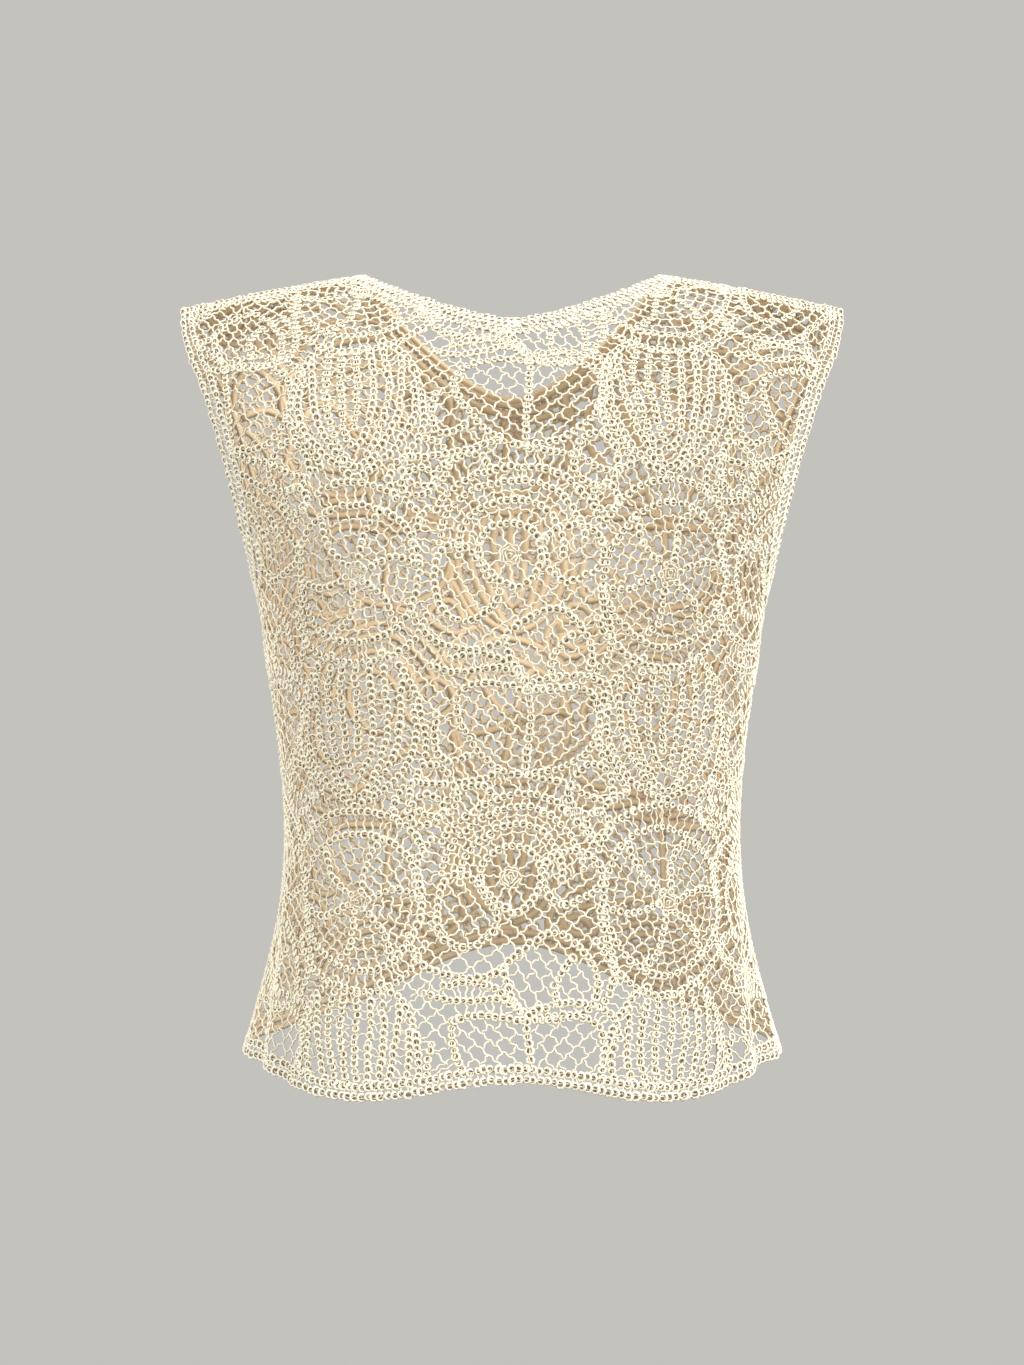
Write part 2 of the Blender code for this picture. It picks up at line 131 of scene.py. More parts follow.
# Steps along each line of a half panel's outline
HEM_STEPS = 30
ARMHOLE_STEPS = 24
NECK_STEPS = 22
SIDE_STEPS = 39
SHOULDER_STEPS = 19


def through_rows(rows, place, up):
    """Value of a table's column at a height, on a smooth curve through the rows."""
    heights = np.array([row[0] for row in rows])
    values = np.array([row[place] for row in rows])
    near = np.concatenate(([0], np.arange(len(rows)), [len(rows) - 1]))
    slopes = (values[near[2:]] - values[near[:-2]]) / (heights[near[2:]] - heights[near[:-2]])
    up = np.clip(up, heights[0], heights[-1])
    i = np.clip(np.searchsorted(heights, up, side="right") - 1, 0, len(rows) - 2)
    step = heights[i + 1] - heights[i]
    t = (up - heights[i]) / step
    start = values[i] * (1 + 2 * t) * (1 - t) ** 2 + slopes[i] * step * t * (1 - t) ** 2
    return start + values[i + 1] * t * t * (3 - 2 * t) - slopes[i + 1] * step * t * t * (1 - t)


def half_girth(panel, up):
    """Distance along the cloth from the middle line to the side, with x and depth on the way."""
    width = through_rows(FORM_ROWS, 1, up) - WALL
    depth = through_rows(FORM_ROWS, DEPTH_PLACE[panel], up) - WALL
    angle = np.linspace(0.0, math.pi / 2, GIRTH_POINTS)
    xs = width * np.sin(angle) ** (2 / FORM_ROUNDNESS)
    depths = depth * np.maximum(np.cos(angle), 0.0) ** (2 / FORM_ROUNDNESS)
    steps = np.hypot(np.diff(xs), np.diff(depths))
    return np.concatenate(([0.0], np.cumsum(steps))), xs, depths


def side_at(panel, up):
    """Distance along the cloth from the middle line to the side seam at a height."""
    return float(half_girth(panel, up)[0][-1])


def across_at(panel, x, up):
    """Distance along the cloth from the middle line to a distance from the middle plane."""
    along, xs, _ = half_girth(panel, up)
    return float(np.interp(x, xs, along))


def shoulder_line(x):
    """Height of the shoulder ridge at a distance from the middle plane."""
    share = np.maximum(np.abs(x) - NECK_HALF_WIDTH, 0.0) / (SHOULDER_TIP - NECK_HALF_WIDTH)
    return SHOULDER_TOP - WALL - SHOULDER_DROP * share ** SHOULDER_CURVE


def shoulder_round(panel, x, up):
    """Angle through which the cloth turns over the shoulder at a place, and its radius."""
    _, xs, depths = half_girth(panel, up)
    angle = 2 * math.atan(max(float(np.interp(x, xs, depths)), LEAST_DEPTH) / SHOULDER_ROUND)
    return angle, SHOULDER_ROUND / math.sin(angle)


def seam_up(panel, x):
    """Flat height of the shoulder seam at a distance from the middle plane."""
    up = SHOULDER_TOP
    for _ in range(SEARCH_ROUNDS):
        angle, radius = shoulder_round(panel, x, up)
        up = float(shoulder_line(x)) - SHOULDER_ROUND + radius * angle
    return up


def neck_up(panel, x):
    """Flat height of the neckline at a distance from the middle plane."""
    drop = NECK_DROP[panel] * (1 - (x / NECK_HALF_WIDTH) ** NECK_CURVE[panel])
    up = SHOULDER_TOP
    for _ in range(SEARCH_ROUNDS):
        _, radius = shoulder_round(panel, x, up)
        start = float(shoulder_line(x)) - SHOULDER_ROUND
        up = start + radius * math.asin((SHOULDER_TOP - WALL - drop - start) / radius)
    return up


# The form as a fine table of points and outward normals, which every yarn is laid on
TABLE_STEP = 0.003
TABLE_UPS = np.arange(-0.520, 0.110, TABLE_STEP)
TABLE_ACROSS = np.arange(-0.285, 0.2851, TABLE_STEP)
LEAST_LENGTH = 1e-9


def unit(vectors):
    """The same vectors with a length of 1."""
    return vectors / np.maximum(np.linalg.norm(vectors, axis=-1, keepdims=True), LEAST_LENGTH)


def lay_form(panel):
    """Points and outward normals of a panel's form, for every place in the flat table."""
    points = np.zeros((len(TABLE_UPS), len(TABLE_ACROSS), 3))
    flat = np.abs(TABLE_ACROSS)
    for row, up in enumerate(TABLE_UPS):
        along, xs, depths = half_girth(panel, up)
        x = np.interp(flat, along, xs)
        depth = np.interp(flat, along, depths) - np.maximum(flat - along[-1], 0.0)
        sink = np.zeros(len(flat))
        for name, middle, half_width, fold, top in FOLDS:
            if name == panel and up < top:
                fade = min((top - up) / (top - HEM), 1.0)
                sink += fold * fade * fade * np.exp(-(((TABLE_ACROSS - middle) / half_width) ** 2))
        power = FORM_ROUNDNESS - 1
        nx = (x / xs[-1]) ** power / xs[-1]
        ny = (np.maximum(depth, 0.0) / depths[0]) ** power / depths[0]
        size = np.hypot(nx, ny)
        x = x - sink * nx / size
        depth = depth - sink * ny / size
        angle = 2 * np.arctan(np.maximum(np.interp(x, xs, depths), LEAST_DEPTH) / SHOULDER_ROUND)
        radius = SHOULDER_ROUND / np.sin(angle)
        start = shoulder_line(x) - SHOULDER_ROUND
        turn = np.maximum(up - start, 0.0) / radius
        points[row, :, 0] = np.copysign(x, TABLE_ACROSS)
        points[row, :, 1] = FACING[panel] * (depth - radius * (1 - np.cos(turn)))
        points[row, :, 2] = np.where(up > start, start + radius * np.sin(turn), up)
    run_across = np.gradient(points, axis=1)
    run_up = np.gradient(points, axis=0)
    return points, unit(np.cross(run_across, run_up) * -FACING[panel])


FORM = {panel: lay_form(panel) for panel in ("back", "front")}


def on_form(panel, flat, height):
    """Points in space, and outward normals, for flat places at a height above the form."""
    points, normals = FORM[panel]
    col = np.clip((flat[:, 0] - TABLE_ACROSS[0]) / TABLE_STEP, 0, len(TABLE_ACROSS) - 1.001)
    row = np.clip((flat[:, 1] - TABLE_UPS[0]) / TABLE_STEP, 0, len(TABLE_UPS) - 1.001)
    i, j = row.astype(int), col.astype(int)
    v, u = (row - i)[:, None], (col - j)[:, None]
    place, normal = [
        table[i, j] * (1 - u) * (1 - v) + table[i, j + 1] * u * (1 - v)
        + table[i + 1, j] * (1 - u) * v + table[i + 1, j + 1] * u * v
        for table in (points, normals)
    ]
    normal = unit(normal)
    return place + normal * np.reshape(height, (-1, 1)), normal


def even(points, step):
    """The same line with points an equal distance apart."""
    points = np.asarray(points, float)
    runs = np.concatenate(([0.0], np.cumsum(np.hypot(*np.diff(points, axis=0).T))))
    count = max(int(round(runs[-1] / step)), 1)
    at = np.linspace(0.0, runs[-1], count + 1)
    return np.column_stack([np.interp(at, runs, points[:, k]) for k in (0, 1)])


def beside_line(points):
    """Unit steps to the left of a line, one for each of its points."""
    run = np.gradient(points, axis=0)
    run /= np.maximum(np.hypot(*run.T), LEAST_LENGTH)[:, None]
    return np.column_stack([-run[:, 1], run[:, 0]])


def curve_through(points, closed, step):
    """A smooth curve through points, for a cord that is worked round a motif."""
    points = np.asarray(points, float)
    count = len(points)
    spans = count if closed else count - 1
    t = np.linspace(0, 1, 9)[:-1, None]
    made = []
    for i in range(spans):
        a, b, c, d = [points[(i + k) % count] if closed else points[min(max(i + k, 0), count - 1)]
                      for k in (-1, 0, 1, 2)]
        made.append(0.5 * (2 * b + (c - a) * t + (2 * a - 5 * b + 4 * c - d) * t ** 2
                           + (3 * b - a - 3 * c + d) * t ** 3))
    made.append(points[:1] if closed else points[-1:])
    return even(np.vstack(made), step)


def moved_in(points, inset, first, last):
    """A line moved in from the edge, with a first and a last point of its own."""
    points = np.asarray(points)
    run = points[2:] - points[:-2]
    run /= np.hypot(*run.T)[:, None]
    middle = points[1:-1] + inset * np.column_stack([-run[:, 1], run[:, 0]])
    return np.vstack([[first], middle, [last]])


def hem_up(panel, across):
    """Flat height of the scalloped hem at a distance along the cloth."""
    share = min(abs(across) / side_at(panel, HEM), 1.0)
    wave = HEM_SCALLOP * math.cos(2 * math.pi * across / REPEAT[0])
    lift = HEM_SIDE_RISE * share ** 6
    return HEM + wave + lift + HEM_RISE[panel] * math.cos(share * math.pi / 2) ** 2


def hem_line(panel, inset):
    """Half of the hem in the flat, from the middle to the side seam, moved in from the edge."""
    side = side_at(panel, HEM)
    places = side * np.arange(HEM_STEPS + 1) / HEM_STEPS
    points = [(across, hem_up(panel, across)) for across in places]
    end = points[-1][1] + inset
    return moved_in(points, inset, (0.0, points[0][1] + inset), (side_at(panel, end), end))


def armhole_line(panel, inset):
    """An armhole in the flat, from the side seam to the shoulder seam."""
    top = seam_up(panel, SHOULDER_TIP)
    points = []
    for i in range(ARMHOLE_STEPS + 1):
        up = UNDERARM + (top - UNDERARM) * (i / ARMHOLE_STEPS) ** ARMHOLE_CURVE
        points.append((across_at(panel, through_rows(ARMHOLE_ROWS, 1, up), up), up))
    low, tip = UNDERARM - inset * UNDERARM_TURN, SHOULDER_TIP - inset
    last = (across_at(panel, tip, seam_up(panel, tip)), seam_up(panel, tip))
    return moved_in(points, inset, (side_at(panel, low), low), last)


def neck_line(panel, inset):
    """Half of the neckline in the flat, from the shoulder seam to the middle."""
    points = []
    for i in range(NECK_STEPS + 1):
        x = NECK_HALF_WIDTH * math.cos(math.pi / 2 * i / NECK_STEPS)
        points.append((across_at(panel, x, neck_up(panel, x)), neck_up(panel, x)))
    side = NECK_HALF_WIDTH + inset
    first = (across_at(panel, side, seam_up(panel, side)), seam_up(panel, side))
    return moved_in(points, inset, first, (0.0, points[-1][1] - inset))


def side_line(panel, inset):
    """A side seam in the flat, from the hem edging to the armhole edging."""
    low, high = hem_line(panel, EDGING)[-1][1], armhole_line(panel, EDGING)[0][1]
    ups = np.linspace(low, high, SIDE_STEPS + 1)
    return np.array([(side_at(panel, up) - inset, up) for up in ups])


def shoulder_seam_line(panel, inset, edge=EDGING):
    """A shoulder seam in the flat, from the armhole edging to the neck edging."""
    line = []
    for x in np.linspace(SHOULDER_TIP - edge, NECK_HALF_WIDTH + edge, SHOULDER_STEPS + 1):
        line.append((across_at(panel, x, seam_up(panel, x)), seam_up(panel, x) - inset))
    return np.array(line)


def panel_edge(panel):
    """Outline of the lace of a panel in the flat, inside its seams and edgings."""
    lines = [hem_line(panel, EDGING), side_line(panel, SEAM)[1:-1], armhole_line(panel, EDGING),
             shoulder_seam_line(panel, SEAM)[1:-1], neck_line(panel, EDGING)]
    half = np.vstack(lines)
    low = half[:, 1] < UNDERARM
    half[low, 0] = [min(a, side_at(panel, up) - SEAM) for a, up in half[low]]
    return np.vstack([half[:-1], (half * (-1, 1))[::-1][:-1]])


def inside(shape, points):
    """Whether each point lies in a closed shape."""
    odd = np.zeros(len(points), bool)
    for (x0, y0), (x1, y1) in zip(shape, np.roll(shape, -1, axis=0)):
        if y0 != y1:
            spans = (y0 > points[:, 1]) != (y1 > points[:, 1])
            odd ^= spans & (points[:, 0] < (x1 - x0) * (points[:, 1] - y0) / (y1 - y0) + x0)
    return odd


# A chart is a fine grid over a flat panel that notes where cloth already is
CHART_STEP = 0.0006
CHART_LOW = np.array((-0.288, -0.520))
CHART_SHAPE = (960, 1050)


def chart_cells(points):
    """The chart's cells that points in the flat fall in."""
    cells = np.round((np.asarray(points) - CHART_LOW) / CHART_STEP).astype(int)
    return np.clip(cells, 0, np.array(CHART_SHAPE) - 1)


def note(chart, points, reach):
    """Marks a chart's cells within reach of points."""
    cells = chart_cells(points)
    size = int(math.ceil(reach / CHART_STEP))
    for dx in range(-size, size + 1):
        for dy in range(-size, size + 1):
            if math.hypot(dx, dy) * CHART_STEP <= reach:
                near = np.clip(cells + (dx, dy), 0, np.array(CHART_SHAPE) - 1)
                chart[near[:, 0], near[:, 1]] = True


def noted(chart, points):
    """Whether the cell of each point is marked."""
    cells = chart_cells(points)
    return chart[cells[:, 0], cells[:, 1]]


def note_shape(chart, shape):
    """Marks a chart's cells inside a closed shape."""
    low, high = chart_cells([shape.min(axis=0), shape.max(axis=0)])
    ranges = [np.arange(start, end + 1) for start, end in zip(low, high)]
    places = np.stack(np.meshgrid(*ranges, indexing="ij"), axis=-1).reshape(-1, 2)
    hit = places[inside(shape, places * CHART_STEP + CHART_LOW)]
    chart[hit[:, 0], hit[:, 1]] = True


def runs_where(keep, least):
    """Start and end of each unbroken run of True that has at least so many places."""
    marks = np.diff(np.concatenate(([0], keep.astype(int), [0])))
    starts, ends = np.flatnonzero(marks == 1), np.flatnonzero(marks == -1)
    return [(a, b) for a, b in zip(starts, ends) if b - a >= least]


def arc(cx, cy, rx, ry, start, end, count):
    """Points on part of an oval, in millimetres."""
    turns = np.radians(np.linspace(start, end, count))
    return [(cx + rx * math.cos(a), cy + ry * math.sin(a)) for a in turns]


# One repeat of the lace, in millimetres from the middle of its rosette. First its wheel: middle and
# size, spokes, coils at its middle, and the rings between its spokes as shares of its size
WHEEL = (93.5, -12.0)
WHEEL_SIZE = (40.0, 43.0)
SPOKES = 6
SPOKE_TURN = 12
SPOKE_LINE = ((0.16, 0), (0.42, 7), (0.70, 4), (0.96, -5))
WHEEL_COILS = (1.6, 3.4, 5.2, 7.0)
WHEEL_RINGS = (0.27, 0.41, 0.55, 0.69, 0.84)
WIDE_WHEEL_RINGS = (0.30, 0.58, 0.80)
WIDE_RINGS_SPOKE = 1
WHEEL_BAR_STEP = 6.2

# Tulip: its foot, the lines of its heart, and the petals of one side
TULIP_FOOT = (93.5, 50.0)
TULIP_HEART = (
    ((-16, 76), (-19, 60), (-18, 42), (-12, 20), (-6, 7), (0, 3), (6, 7), (12, 20), (18, 42),
     (19, 60), (16, 76)),
    ((-8, 77), (-10, 60), (-9, 42), (-6, 25), (0, 15), (6, 25), (9, 42), (10, 60), (8, 77)),
    ((0, 77), (0.5, 60), (-0.5, 44), (0, 28)),
)
TULIP_PETALS = (
    ((1, -2), (15, 6), (27, 19), (35, 38), (34, 55)),
    ((8, 5), (16, 18), (24, 35), (27, 54), (27, 72)),
)


def beside(middle, points, side):
    """A shape set beside a middle line, on one side or mirrored."""
    return [(middle[0] + side * x, middle[1] + y) for x, y in points]


def wheel_spoke(number):
    """Points of a slightly bent spoke, from near the wheel's middle to its rim."""
    turn = 360 / SPOKES * number + SPOKE_TURN
    return [arc(*WHEEL, r * WHEEL_SIZE[0], r * WHEEL_SIZE[1], turn + bend, turn + bend, 1)[0]
            for r, bend in SPOKE_LINE]


# Leaves, half moon, petal, bud and rosette, each as points on its outline
LEFT_LEAF = ((8, 117), (-6, 119), (-21, 118), (-33, 112), (-34, 100), (-27, 86), (-17, 74),
             (-5, 66), (8, 63))
RIGHT_LEAF = ((10, 117), (24, 119), (38, 118), (50, 112), (54, 100), (51, 86), (43, 74),
              (28, 65), (10, 63))
STEM = ((9, 117), (10, 99), (9, 81), (9, 64))
HALF_MOON = ((-40, 2), (-30, 7), (-21, 0), (-15, -11), (-8, -22), (-13, -33), (-26, -39),
             (-38, -34), (-43, -22), (-44, -9))
SMALL_LEAF = ((20, 9), (29, 15), (40, 17), (51, 9), (52, -3), (42, -10), (31, -14), (22, -7))
PETAL = ((-3, -49), (8, -37), (24, -29), (37, -37), (45, -49), (48, -62), (43, -74), (28, -78),
         (12, -76), (2, -65))
BUD = ((31, -2), (34, 12), (43, 17), (53, 10), (58, -4), (51, -13), (39, -12))
ROSETTE = ((0, -19), (11, -14), (17, -4), (17, 7), (11, 15), (1, 18.5), (-9, 17), (-16, 10),
           (-18, 0), (-12, -10))

# The cords of a repeat: closed or not, and the points that each smooth line runs through
CORDS = [
    (True, ROSETTE),
    (False, arc(0, 3, 30, 29, -6, 186, 15)),
    (False, arc(0, 1, 42, 42, 8, 172, 15)),
    (False, arc(2, 0, 51, 51, 24, 150, 12)),
    (True, HALF_MOON),
    (True, SMALL_LEAF),
    (True, PETAL),
    (False, LEFT_LEAF),
    (False, RIGHT_LEAF),
    (False, STEM),
    (False, ((-38, 133), (-22, 136), (-7, 134), (2, 128), (8, 119))),
    (False, ((-46, 99), (-48, 86), (-46, 75), (-38, 71), (-28, 75))),
    (False, ((-62, 60), (-48, 58), (-34, 59), (-21, 62), (-9, 66))),
    (False, ((11, 62), (24, 58), (38, 56), (48, 50), (60, 48), (70, 53))),
    (False, ((51, 86), (57, 78), (63, 68), (70, 56))),
    (False, ((13, 122), (28, 126), (44, 124), (57, 118), (62, 106))),
    (False, ((-60, -30), (-54, -44), (-44, -52), (-30, -56), (-16, -56), (-4, -50))),
    (False, ((-50, -66), (-36, -70), (-20, -69), (-6, -66), (4, -70))),
    (False, ((52, -18), (54, -32), (58, -46), (56, -60), (50, -72))),
    (True, arc(*WHEEL, *WHEEL_SIZE, 0, 345, 24)),
    (False, arc(93.5, -6, 48, 51, 28, 152, 13)),
    (False, ((56, 72), (53, 82), (54, 96), (58, 112), (66, 126), (78, 134))),
    (False, ((131, 72), (134, 82), (133, 96), (129, 112), (121, 126), (109, 134))),
    (False, arc(93.5, -14, 49, 53, 204, 336, 13)),
    (True, arc(-53, 43, 10.5, 9, 0, 324, 10)),
    (True, arc(53, 33, 7.5, 8, 0, 324, 10)),
    (False, ((-67, 34), (-71, 44), (-69, 55), (-60, 60))),
    (False, ((-12, 51), (-20, 58), (-32, 56), (-41, 49))),
    (False, ((34, -44), (27, -52), (24, -61), (27, -70))),
    (False, ((-56, -8), (-58, 4), (-55, 16), (-48, 26))),
]
CORDS += [(False, wheel_spoke(i)) for i in range(SPOKES)]
CORDS += [(False, beside(TULIP_FOOT, loop, 1)) for loop in TULIP_HEART]
for side in (-1, 1):
    CORDS += [(False, beside(TULIP_FOOT, petal, side)) for petal in TULIP_PETALS]
    CORDS.append((True, beside((93.5, 53.0), BUD, side)))

# Shapes that a net fills: outline, direction of its long yarns in degrees, their spacing, and that
# of its rungs
NETS = [
    (LEFT_LEAF, -38, 7.2, 9.6),
    (RIGHT_LEAF, 42, 8.0, 8.4),
    (HALF_MOON, -58, 7.8, 9.6),
    (SMALL_LEAF, 35, 6.8, 8.6),
    (PETAL, -56, 6.6, 10.5),
]
NET_SPAN = 0.75


def wheel_yarns():
    """Single yarns of a wheel: coils round its middle, arcs between spokes and staggered bars."""
    made = [arc(*WHEEL, r, r, 0, 330, 12) + arc(*WHEEL, r, r, 0, 0, 1) for r in WHEEL_COILS]
    for spoke in range(SPOKES):
        low, high = 360 / SPOKES * spoke + 16, 360 / SPOKES * (spoke + 1) + 10
        rings = WIDE_WHEEL_RINGS if spoke == WIDE_RINGS_SPOKE else WHEEL_RINGS
        for r in rings:
            made.append(arc(*WHEEL, r * WHEEL_SIZE[0], r * WHEEL_SIZE[1], low, high, 6))
        for k, (near, far) in enumerate(zip(rings, rings[1:] + (0.97,))):
            room = math.radians(high - low) * near * WHEEL_SIZE[0]
            bars = max(int(round(room / WHEEL_BAR_STEP)), 1)
            for b in range(bars):
                turn = low + (high - low) * (b + 0.3 + 0.4 * (k % 2)) / bars
                made.append([arc(*WHEEL, r * WHEEL_SIZE[0], r * WHEEL_SIZE[1], turn, turn, 1)[0]
                             for r in (near, far)])
    return made


ROSETTE_COILS = (1.3, 3.0, 4.7, 6.2)
ROSETTE_SIZE = (17.5, 18)
ROSETTE_BARS = 11


def rosette_yarns():
    """Single yarns of a rosette: coils round its middle, and bars from them to its ring."""
    made = [arc(0, 0, r, r, 0, 330, 12) + arc(0, 0, r, r, 0, 0, 1) for r in ROSETTE_COILS]
    ends = (ROSETTE_COILS[-1], ROSETTE_SIZE[0])
    for i in range(ROSETTE_BARS):
        turn = 360 / ROSETTE_BARS * i + 7
        made.append([arc(0, 0, r, r, turn, turn, 1)[0] for r in ends])
    return made


ARCH_YARNS = [arc(0, 3, 24.5, 24, 0, 180, 12), arc(0, 2, 36, 35.5, 2, 178, 14)]
LOOSE_YARNS = wheel_yarns() + rosette_yarns() + ARCH_YARNS

# How far handwork strays from the chart across and up, over broad and short waves
DRIFT_BROAD = (0.0024, 0.0026)
DRIFT_SHORT = (0.0010, 0.0011)


def drift(flat):
    """How far handwork strays from the chart, so that no two repeats are quite alike."""
    a, u = flat[:, 0], flat[:, 1]
    return flat + np.column_stack([
        DRIFT_BROAD[0] * np.sin(31 * a + 9) * np.sin(23 * u + 2)
        + DRIFT_SHORT[0] * np.sin(90 * u + 47 * a),
        DRIFT_BROAD[1] * np.sin(27 * a + 4) * np.sin(25 * u + 7)
        + DRIFT_SHORT[1] * np.sin(83 * a - 39 * u),
    ])


FIRST_ROSETTE = {"back": (0.0, -0.172), "front": (0.0935, -0.262)}


def repeated(panel, line, closed, step):
    """Every copy of a charted line that could touch a panel, in metres on the flat panel."""
    line = np.asarray(line) / 1000
    smooth = curve_through(line, closed, step) if len(line) > 2 else even(line, step)
    for i in (-2, -1, 0, 1):
        for j in (-2, -1, 0, 1, 2):
            yield drift(smooth + FIRST_ROSETTE[panel] + np.array((i, j)) * REPEAT)


# Steps along charted lines and round shapes, and the shortest runs kept, in steps
LINE_STEP = 0.001
SHAPE_STEP = 0.002
LEAST_CORD = 8
LEAST_YARN = 3

# How far a cord and a yarn reach to each side on the chart
CORD_REACH = 0.0011
YARN_REACH = 0.0015

# Ladders: spacing of the bars, shortest and longest bar, search start, room between bars, and
# how far a bar reaches on the chart
LADDER_STEP = {"back": 0.0048, "front": 0.0044}
LADDER_LEAST = 0.0042
LADDER_MOST = 0.0150
LADDER_START = 0.0016
LADDER_APART = 0.0030
LADDER_REACH = 0.0019

# Net over what is still open: spacing, its two directions in degrees, stray, middle, half size, and
# the shortest run and the overlap with the cloth beside it, in steps
BACKGROUND_NET = {"back": 0.0084, "front": 0.0070}
NET_TURNS = (38, -44)
NET_STRAY = 0.0008
NET_MIDDLE = (0.0, -0.24)
NET_HALF_SIZE = 0.42
LEAST_NET = 4
NET_OVERLAP = 2


def net_directions(turn):
    """Unit steps along and across the long yarns of a net."""
    across = np.array((math.cos(math.radians(turn)), math.sin(math.radians(turn))))
    return across, np.array((-across[1], across[0]))


def chart_panel(panel):
    """The cords and the single yarns of a panel, as lines in the flat."""
    chance = np.random.default_rng({"back": 11, "front": 12}[panel])
    shape, cord_marks, cloth, nets = [np.zeros(CHART_SHAPE, bool) for _ in range(4)]
    note_shape(shape, panel_edge(panel))
    cords, yarns = [], []
    for closed, line in CORDS:
        for copy in repeated(panel, line, closed, LINE_STEP):
            for a, b in runs_where(noted(shape, copy), LEAST_CORD):
                cords.append(copy[a:b])
    seams = [side_line(panel, SEAM)]
    seams += [shoulder_seam_line(panel, inset, SEAM_END) for inset in (SEAM, SEAM_ROW)]
    for line in seams:
        for side in (-1, 1):
            cords.append(even(line * (side, 1), LINE_STEP))
    for cord in cords:
        note(cord_marks, cord, CORD_REACH)
    for line in (hem_line(panel, EDGING), armhole_line(panel, EDGING), neck_line(panel, EDGING)):
        for side in (-1, 1):
            note(cord_marks, even(line * (side, 1), LINE_STEP), CORD_REACH)

    def add_yarn(line):
        for a, b in runs_where(noted(shape, line), LEAST_YARN):
            yarns.append(line[a:b])

    for outline, turn, spacing, rung in NETS:
        whole = list(outline)
        if outline in (LEFT_LEAF, RIGHT_LEAF):
            whole += STEM[1:-1][::-1]
        across, sideways = net_directions(turn)
        whole = np.asarray(whole, float)
        middle, reach = whole.mean(axis=0), np.ptp(whole, axis=0).max() * NET_SPAN
        lines = []
        count = int(reach / spacing)
        for k in range(-count, count + 1):
            along = np.arange(-reach, reach, 1.0)[:, None]
            line = middle + across * along + sideways * (k * spacing)
            lines += [line[a:b] for a, b in runs_where(inside(whole, line), LEAST_YARN)]
            for m in range(int(-reach / rung), int(reach / rung)):
                foot = middle + across * ((m + 0.5 * (k % 2)) * rung) + sideways * (k * spacing)
                step = np.array((foot, foot + sideways * spacing))
                if inside(whole, step).all():
                    lines.append(step)
        for copy in repeated(panel, outline, True, SHAPE_STEP):
            note_shape(nets, copy)
        for line in lines:
            for copy in repeated(panel, line, False, LINE_STEP):
                add_yarn(copy)
    for middle, size in ((WHEEL, WHEEL_SIZE), ((0, 0), ROSETTE_SIZE)):
        for copy in repeated(panel, arc(*middle, *size, 0, 345, 24), True, SHAPE_STEP):
            note_shape(nets, copy)
    for line in LOOSE_YARNS:
        for copy in repeated(panel, line, False, LINE_STEP):
            add_yarn(copy)
    for line in cords + yarns:
        note(cloth, line, YARN_REACH)

    # Ladders: bars from a cord to the next one beside it, wherever the two run close together
    steps = np.arange(LADDER_START, LADDER_MOST, CHART_STEP)
    taken = set()
    for cord in cords:
        places = even(cord, LADDER_STEP[panel])
        for side in (-1, 1):
            away = side * beside_line(places)
            rays = places[:, None, :] + away[:, None, :] * steps[None, :, None]
            hit = noted(cord_marks, rays.reshape(-1, 2)).reshape(len(places), -1)
            hit[:, steps < LADDER_LEAST] = False
            for place, ray, met in zip(places, rays, hit):
                if not met.any():
                    continue
                end = ray[int(np.argmax(met))]
                middle = (place + end) / 2
                key = tuple(np.round(middle / LADDER_APART).astype(int))
                if noted(nets, middle[None])[0] or not noted(shape, middle[None])[0]:
                    continue
                if any((key[0] + dx, key[1] + dy) in taken for dx in (-1, 0, 1) for dy in (-1, 0, 1)
                       if abs(dx) + abs(dy) < 2):
                    continue
                taken.add(key)
                line = even([place, end], LINE_STEP)
                yarns.append(line)
                note(cloth, line, LADDER_REACH)

    # What is still open gets a net of its own
    for turn in NET_TURNS:
        across, sideways = net_directions(turn)
        along = np.arange(-NET_HALF_SIZE, NET_HALF_SIZE, LINE_STEP)[:, None]
        for k in np.arange(-NET_HALF_SIZE, NET_HALF_SIZE, BACKGROUND_NET[panel]):
            line = drift(np.array(NET_MIDDLE) + across * along
                         + sideways * (k + chance.uniform(-NET_STRAY, NET_STRAY)))
            free = noted(shape, line) & ~noted(cloth, line) & ~noted(nets, line)
            for a, b in runs_where(free, LEAST_NET):
                yarns.append(line[max(a - NET_OVERLAP, 0):b + NET_OVERLAP])
    return cords, yarns


# The stitch rings of a cord: yarn radius, ring radius, spacing, lean in degrees, height over the
# form, segments round the ring and round its yarn, stray in place, in turn and in size
RING_YARN = {"back": 0.00076, "front": 0.00052}
RING_RADIUS = 0.00200
RING_PITCH = {"back": 0.0041, "front": 0.0045}
RING_TILT = 17
RING_LIFT = 0.0017
RING_POINTS = (7, 3)
RING_STRAY = 0.00035
RING_TURN_STRAY = 0.16
RING_SIZE_STRAY = 0.09

# Depth in the cloth, from 0 in the hollows to 1 at the top: at a ring's middle height, and the
# height over which it changes by 1; below LOW_DEPTH the yarn is in the rings' hollows. The yarn's
# colour follows this depth as painted shade: tan lower down, brown in the hollows.
RING_DEPTH = 0.75
RING_DEPTH_RISE = 0.0012
LOW_DEPTH = 0.34

# The filler tape, with the depth of its four corners. The depth paints the tape in shade: tan at its
# sides and underside, dark brown on top, where it shows as painted shade in the rings' hollows
TAPE_WIDTH = {"back": 0.0028, "front": 0.0053}
TAPE_STEP = 0.0072
TAPE_THICKNESS = 0.0005
TAPE_LIFT = 0.0006
TAPE_DEPTH = (0.30, 0.0, 0.30, 0.36)

# A single yarn: height over the form, station step, and its crinkle, sideways and up and down
YARN_LIFT = 0.0012
YARN_STEP = 0.0018
WAVE_LENGTH = 0.0058
WAVE_LENGTH_SPREAD = (0.85, 1.2)
WAVE_HEIGHT = 0.00075
WAVE_HEIGHT_SPREAD = (0.6, 1.3)
LIFT_WAVE_HEIGHT = 0.0003
LIFT_WAVE_LENGTH = WAVE_LENGTH * 1.3
